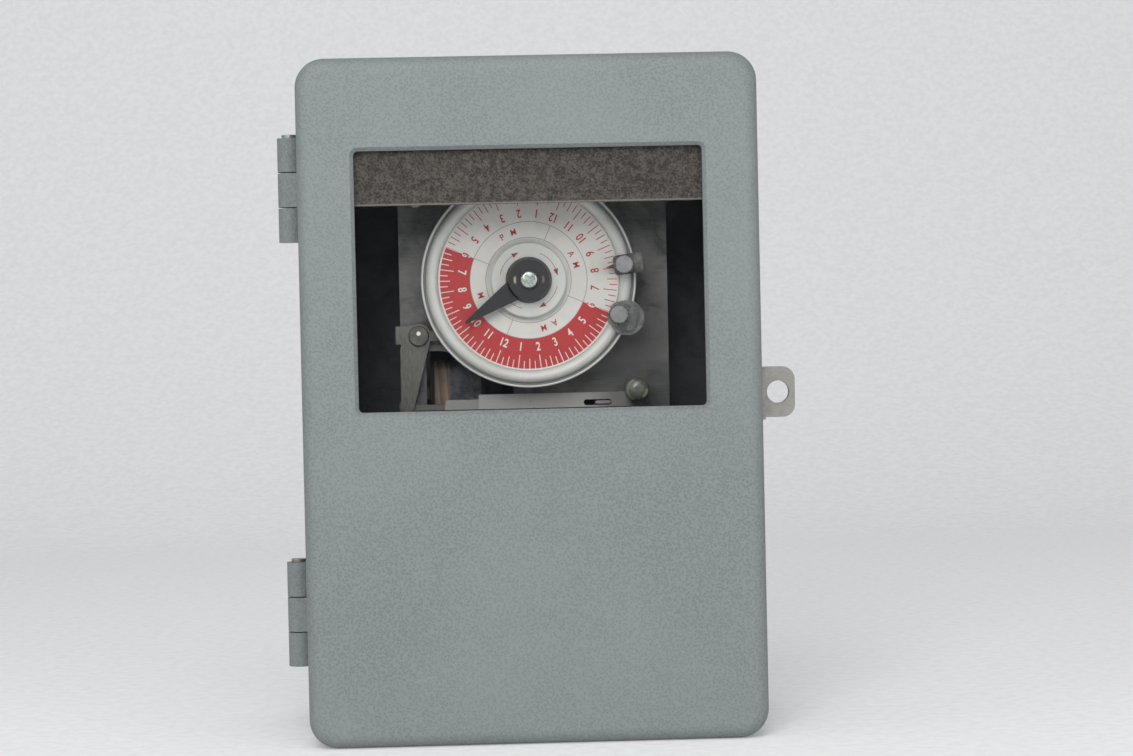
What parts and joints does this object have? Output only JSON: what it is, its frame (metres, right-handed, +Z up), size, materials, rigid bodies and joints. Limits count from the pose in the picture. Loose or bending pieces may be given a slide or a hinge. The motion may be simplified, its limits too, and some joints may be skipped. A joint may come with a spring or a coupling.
{
  "type": "timer switch",
  "caption": "Mechanical 24-hour timer switch: toothed-train dial with two rim trippers and a fixed pointer, manual lever and contacts, in a hinged plastic enclosure with a window.",
  "frame": {"origin": "centre of the back face of the enclosure, on the wall plane", "axes": "+Z up along the enclosure's height, +Y into the wall, +X to the right seen from the front"},
  "size_m": [0.1818, 0.098, 0.236],
  "materials": {
    "case_plastic": "pebbled grey",
    "gasket_rubber": "matte",
    "window_clear": "clear plastic",
    "retainer_plastic": "satin",
    "steel": "zinc plated",
    "plate_steel": "satin zinc",
    "brass": "machined",
    "motor_metal": "satin",
    "lamination": "dark varnish",
    "bobbin": "satin black",
    "coil_tape": "brown tape",
    "gear_plastic": "natural",
    "dial_plastic": "milky",
    "dial_print": "printed",
    "pointer_black": "satin",
    "bright_screw": "bright",
    "clip_dark": "dark",
    "clip_silver": "bright",
    "lever_steel": "satin",
    "bar_plastic": "light grey",
    "knob_plastic": "grey green",
    "spring_steel": "drawn wire",
    "block_plastic": "black",
    "copper": "copper",
    "earth_green": "green"
  },
  "bodies": {
    "enclosure": {"base_case": "case_plastic", "hinge_pins": "steel", "case_hasp": "steel", "case_hasp_rivets": "steel", "mechanism_plate": "plate_steel", "plate_screws": "steel", "gear_plate": "plate_steel", "frame_pillars": "brass", "pillar_screws": "steel", "centre_post": "steel", "dial_bush": "brass", "motor_can": "motor_metal", "motor_screws": "steel", "motor_stator": "lamination", "coil_bobbin": "bobbin", "motor_coil": "coil_tape", "pointer": "pointer_black", "pointer_screw": "bright_screw", "guide_key": "bar_plastic", "trip_lever_pivot": "steel", "manual_lever_pivot": "steel", "spring_anchor_stud": "steel", "switch_block": "block_plastic", "block_screws": "steel", "fixed_contacts": "copper", "blade_feet": "copper", "blade_pins": "steel", "terminal_clamps": "steel", "terminal_screws": "brass", "earth_strap": "brass", "strap_screws": "steel", "earth_screws": "earth_green"},
    "door": {"door_frame": "case_plastic", "door_gasket": "gasket_rubber", "window_gasket": "gasket_rubber", "window_pane": "window_clear", "window_retainer": "retainer_plastic", "retainer_screws": "steel", "door_hasp": "steel", "door_hasp_rivets": "steel"},
    "dial": {"dial_gear": "gear_plastic", "dial_sleeve": "brass", "dial_disc": "dial_plastic", "dial_face": "dial_print", "dial_cap": "dial_plastic"},
    "off_clip": {"off_tripper": "clip_dark"},
    "off_knob": {"off_tripper_screw": "clip_dark"},
    "on_clip": {"on_tripper": "clip_silver"},
    "on_knob": {"on_tripper_screw": "clip_silver"},
    "intermediate": {"idler_wheel": "gear_plastic"},
    "motor_gear": {"motor_pinion": "brass"},
    "manual": {"manual_lever": "lever_steel", "manual_knob": "knob_plastic"},
    "bar": {"slide_bar": "bar_plastic"},
    "trip": {"trip_lever": "lever_steel"},
    "spring": {"snap_spring": "spring_steel"},
    "contact_a": {"blade_a": "copper"},
    "contact_b": {"blade_b": "copper"}
  },
  "joints": [
    {"name": "door_hinge", "type": "hinge", "parent": "enclosure", "child": "door", "pos_m": [-0.0836, -0.06, 0], "axis": [0, 0, -1], "range_deg": [0, 150]},
    {"name": "dial_turn", "type": "hinge", "parent": "enclosure", "child": "dial", "pos_m": [0, 0, 0.0415], "axis": [0, -1, 0], "continuous": true},
    {"name": "off_setting", "type": "hinge", "parent": "dial", "child": "off_clip", "pos_m": [0, 0, 0.0415], "axis": [0, -1, 0], "range_deg": [-6, 150]},
    {"name": "on_setting", "type": "hinge", "parent": "dial", "child": "on_clip", "pos_m": [0, 0, 0.0415], "axis": [0, -1, 0], "range_deg": [-150, 5]},
    {"name": "off_screw_turn", "type": "hinge", "parent": "off_clip", "child": "off_knob", "pos_m": [0.03337, -0.07, 0.04619], "axis": [0, -1, 0], "range_deg": [0, 360]},
    {"name": "on_screw_turn", "type": "hinge", "parent": "on_clip", "child": "on_knob", "pos_m": [0.03118, -0.07, 0.02871], "axis": [0, -1, 0], "range_deg": [0, 360]},
    {"name": "intermediate_turn", "type": "hinge", "parent": "enclosure", "child": "intermediate", "pos_m": [-0.0298, 0, 0.05735], "axis": [0, -1, 0], "continuous": true},
    {"name": "motor_turn", "type": "hinge", "parent": "enclosure", "child": "motor_gear", "pos_m": [-0.02035, 0, 0.04098], "axis": [0, -1, 0], "continuous": true},
    {"name": "manual_rock", "type": "hinge", "parent": "enclosure", "child": "manual", "pos_m": [0.0406, 0, -0.013], "axis": [0, -1, 0], "range_deg": [-21, 0]},
    {"name": "bar_slide", "type": "slide", "parent": "enclosure", "child": "bar", "axis": [1, 0, 0], "range_m": [0, 0.00391]},
    {"name": "trip_rock", "type": "hinge", "parent": "enclosure", "child": "trip", "pos_m": [-0.0394, 0, 0.0225], "axis": [0, -1, 0], "range_deg": [0, 8.89]},
    {"name": "spring_rock", "type": "hinge", "parent": "enclosure", "child": "spring", "pos_m": [0.0406, 0, -0.046], "axis": [0, -1, 0], "range_deg": [-3.04, 0]},
    {"name": "contact_a_rock", "type": "hinge", "parent": "enclosure", "child": "contact_a", "pos_m": [-0.012, 0, -0.037], "axis": [0, -1, 0], "range_deg": [-6.46, 0]},
    {"name": "contact_b_rock", "type": "hinge", "parent": "enclosure", "child": "contact_b", "pos_m": [0.016, 0, -0.037], "axis": [0, -1, 0], "range_deg": [-6.46, 0]}
  ],
  "couplings": [
    {"joint": "intermediate_turn", "follows": "dial_turn", "ratio": -4},
    {"joint": "motor_turn", "follows": "dial_turn", "ratio": 7.2},
    {"joint": "bar_slide", "follows": "manual_rock", "m_per_rad": -0.01067},
    {"joint": "trip_rock", "follows": "manual_rock", "ratio": -0.42356},
    {"joint": "spring_rock", "follows": "manual_rock", "ratio": 0.14458},
    {"joint": "contact_a_rock", "follows": "manual_rock", "ratio": 0.30751},
    {"joint": "contact_b_rock", "follows": "manual_rock", "ratio": 0.30751}
  ]
}
